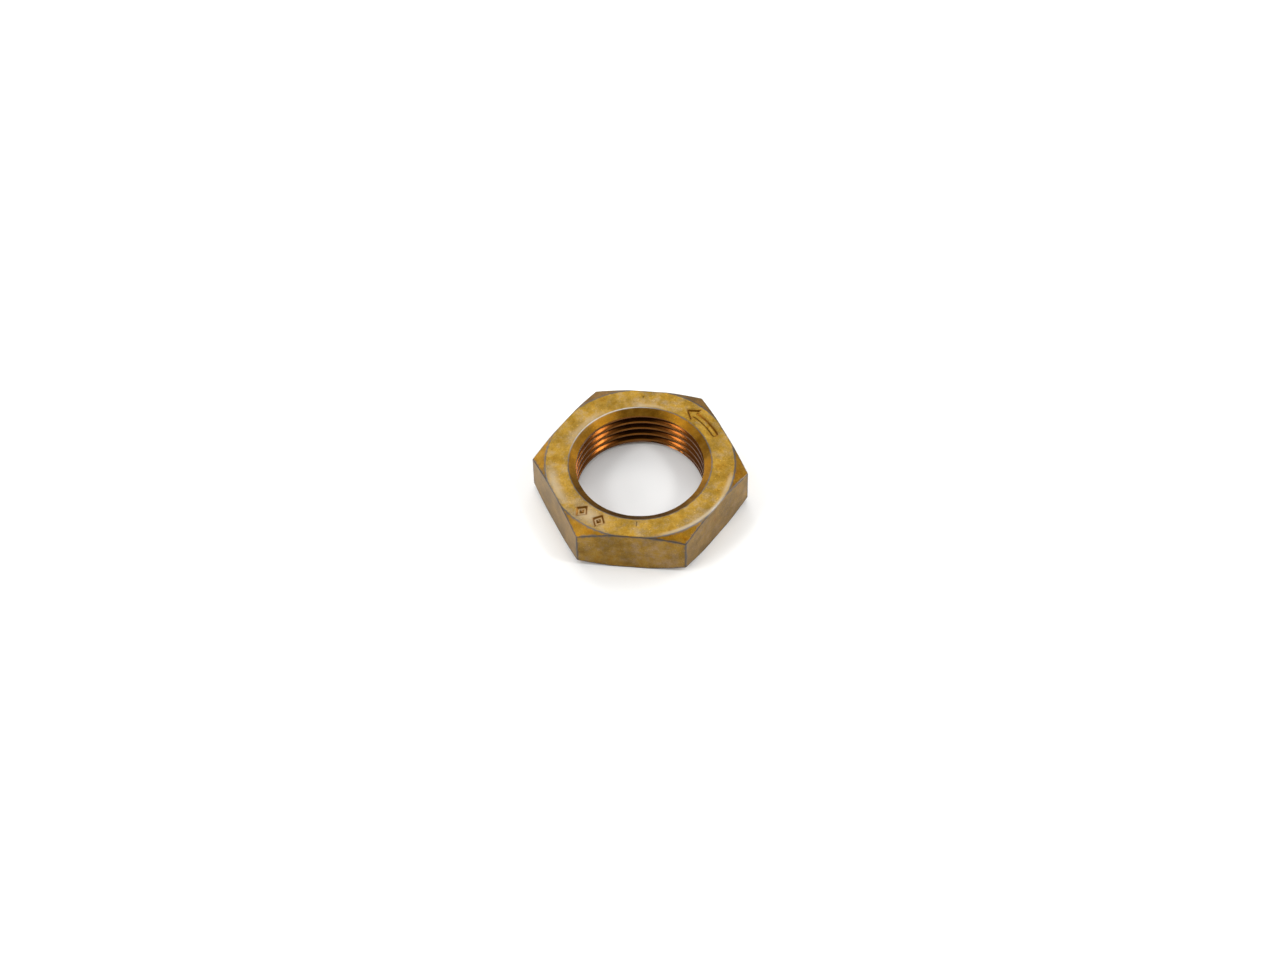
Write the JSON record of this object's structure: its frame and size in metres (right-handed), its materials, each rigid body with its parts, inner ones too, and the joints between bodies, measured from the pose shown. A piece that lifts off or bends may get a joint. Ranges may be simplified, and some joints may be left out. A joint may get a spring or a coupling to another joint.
{
  "type": "hex nut",
  "caption": "Thin hexagon lock nut with a left-hand metric fine thread, both faces chamfered, wide countersinks, and a turning arrow stamped on its top face.",
  "frame": {"origin": "centre of the bore, in the plane of the bottom bearing face", "axes": "+Z along the bore to the stamped top face, +X through a corner of the hexagon, so two flats face +Y and -Y"},
  "size_m": [0.0346, 0.03, 0.008],
  "materials": {
    "yellow_zinc_steel": "forged and tapped steel, zinc plated and yellow passivated: uneven gold to olive brown, satin, rubbed to bare grey metal along the edges"
  },
  "bodies": {
    "root": {"hex_nut": "yellow_zinc_steel"}
  },
  "joints": []
}
